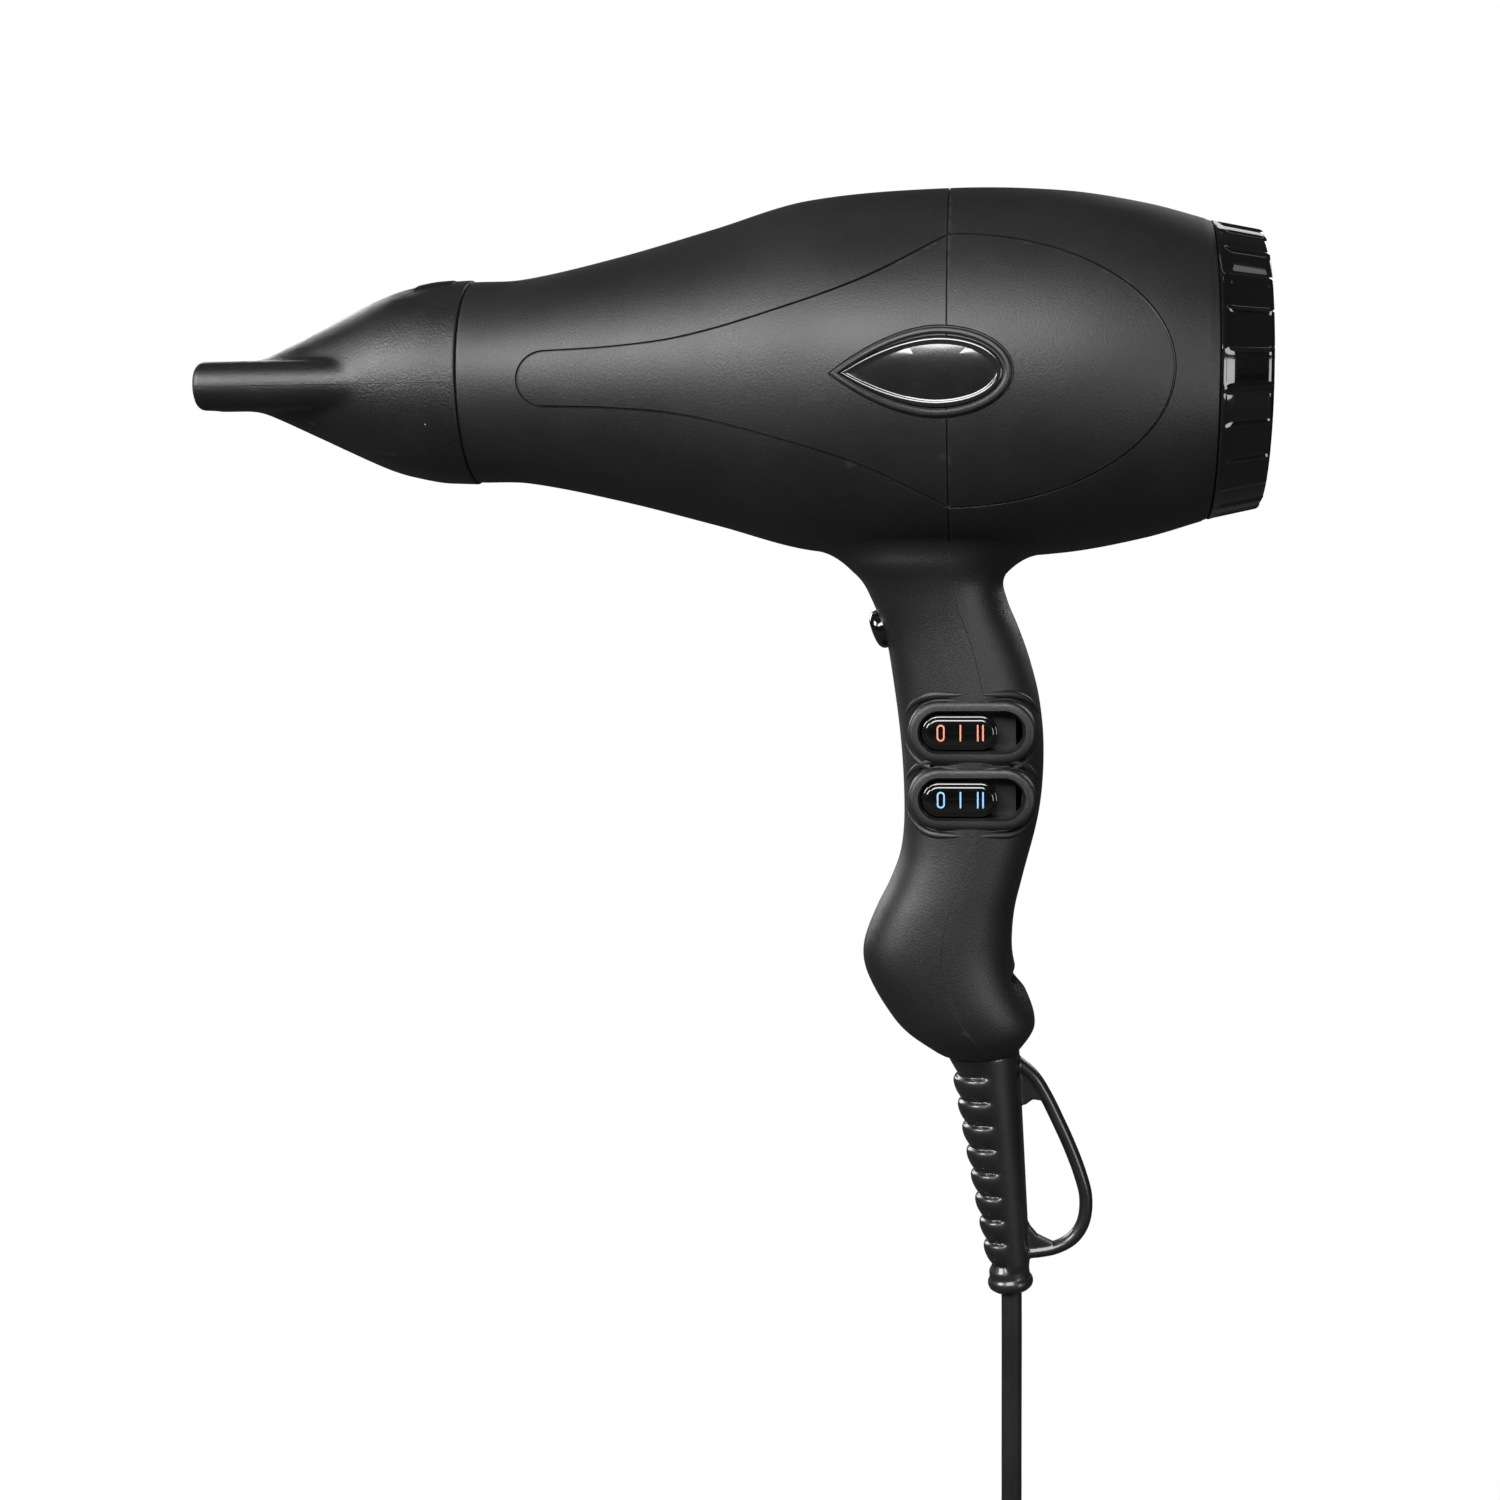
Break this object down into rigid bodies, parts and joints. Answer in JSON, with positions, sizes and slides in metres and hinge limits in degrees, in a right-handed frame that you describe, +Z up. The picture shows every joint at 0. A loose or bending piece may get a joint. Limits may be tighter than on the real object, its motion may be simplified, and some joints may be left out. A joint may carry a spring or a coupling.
{
  "type": "hair dryer",
  "caption": "Hand-held hair dryer with a swelling barrel, flat nozzle, ribbed filter cap, curved handle with two slide switches, cool-shot button, hanging loop and cord.",
  "frame": {"origin": "middle of the handle's grip, where the hand holds it, 80 mm below the barrel axis", "axes": "+X along the air path from the nozzle to the rear filter, +Y across the dryer, +Z up"},
  "size_m": [0.2663, 0.1295, 0.3966],
  "materials": {
    "soft_touch": "soft-touch matt black",
    "gloss_black": "polished black",
    "satin_black": "satin black moulding",
    "badge_black": "clear-coated black",
    "gold_grille": "gold-coloured grille",
    "steel": "plated steel",
    "mica": "mica board",
    "heater_wire": "resistance wire",
    "copper": "enamelled copper winding",
    "circuit_board": "circuit board",
    "filter_steel": "woven steel mesh",
    "aluminium": "turned aluminium",
    "cord_rubber": "black cord sheath",
    "pin_metal": "nickel-plated pins",
    "wire_sheath": "insulated wires"
  },
  "bodies": {
    "casing": {"front_shell": "soft_touch", "rear_shell": "soft_touch", "outlet_ring": "satin_black", "outlet_grille": "gold_grille", "ion_needle": "gold_grille", "heat_shield": "mica", "heater_frame": "mica", "heater_windings": "heater_wire", "thermostat": "copper", "thermal_fuse": "steel", "air_guide": "satin_black", "motor_can": "aluminium", "stator_core": "steel", "stator_windings": "copper", "motor_bearings": "steel", "rear_grille": "satin_black", "filter_seat": "satin_black", "left_badge": "badge_black", "right_badge": "badge_black", "heat_switch": "satin_black", "speed_switch": "satin_black", "control_board": "circuit_board", "ion_module": "satin_black", "cool_switch": "satin_black", "handle_screw": "steel", "cord_clamp": "satin_black", "clamp_screws": "steel", "inner_cord": "cord_rubber", "lead_wires": "wire_sheath", "wire_loom": "wire_sheath", "strain_relief": "gloss_black", "cord_lead": "cord_rubber", "cord_coil": "cord_rubber", "cord_tail": "cord_rubber", "coil_ties": "cord_rubber", "plug_body": "satin_black", "plug_pins": "pin_metal"},
    "nozzle": {"nozzle": "soft_touch"},
    "filter_cap": {"filter_cap": "gloss_black", "filter_mesh": "filter_steel"},
    "fan": {"impeller": "satin_black", "motor_magnet": "steel", "motor_shaft": "steel"},
    "heat_slider": {"heat_slider": "gloss_black"},
    "speed_slider": {"speed_slider": "gloss_black"},
    "cool_button": {"cool_button": "gloss_black"}
  },
  "joints": [
    {"name": "nozzle_turn", "type": "hinge", "parent": "casing", "child": "nozzle", "pos_m": [-0.135, 0, 0.08], "axis": [1, 0, 0], "continuous": true},
    {"name": "filter_twist", "type": "hinge", "parent": "casing", "child": "filter_cap", "pos_m": [0.066, 0, 0.08], "axis": [1, 0, 0], "range_deg": [0, 25]},
    {"name": "fan_spin", "type": "hinge", "parent": "casing", "child": "fan", "pos_m": [0.036, 0, 0.08], "axis": [1, 0, 0], "continuous": true},
    {"name": "heat_slide", "type": "slide", "parent": "casing", "child": "heat_slider", "axis": [1, 0, 0], "range_m": [0, 0.006]},
    {"name": "speed_slide", "type": "slide", "parent": "casing", "child": "speed_slider", "axis": [1, 0, 0], "range_m": [0, 0.006]},
    {"name": "cool_press", "type": "slide", "parent": "casing", "child": "cool_button", "axis": [0.9397, 0, 0.342], "range_m": [0, 0.0025], "stiffness_N_per_m": 400, "springref_m": -0.001}
  ]
}
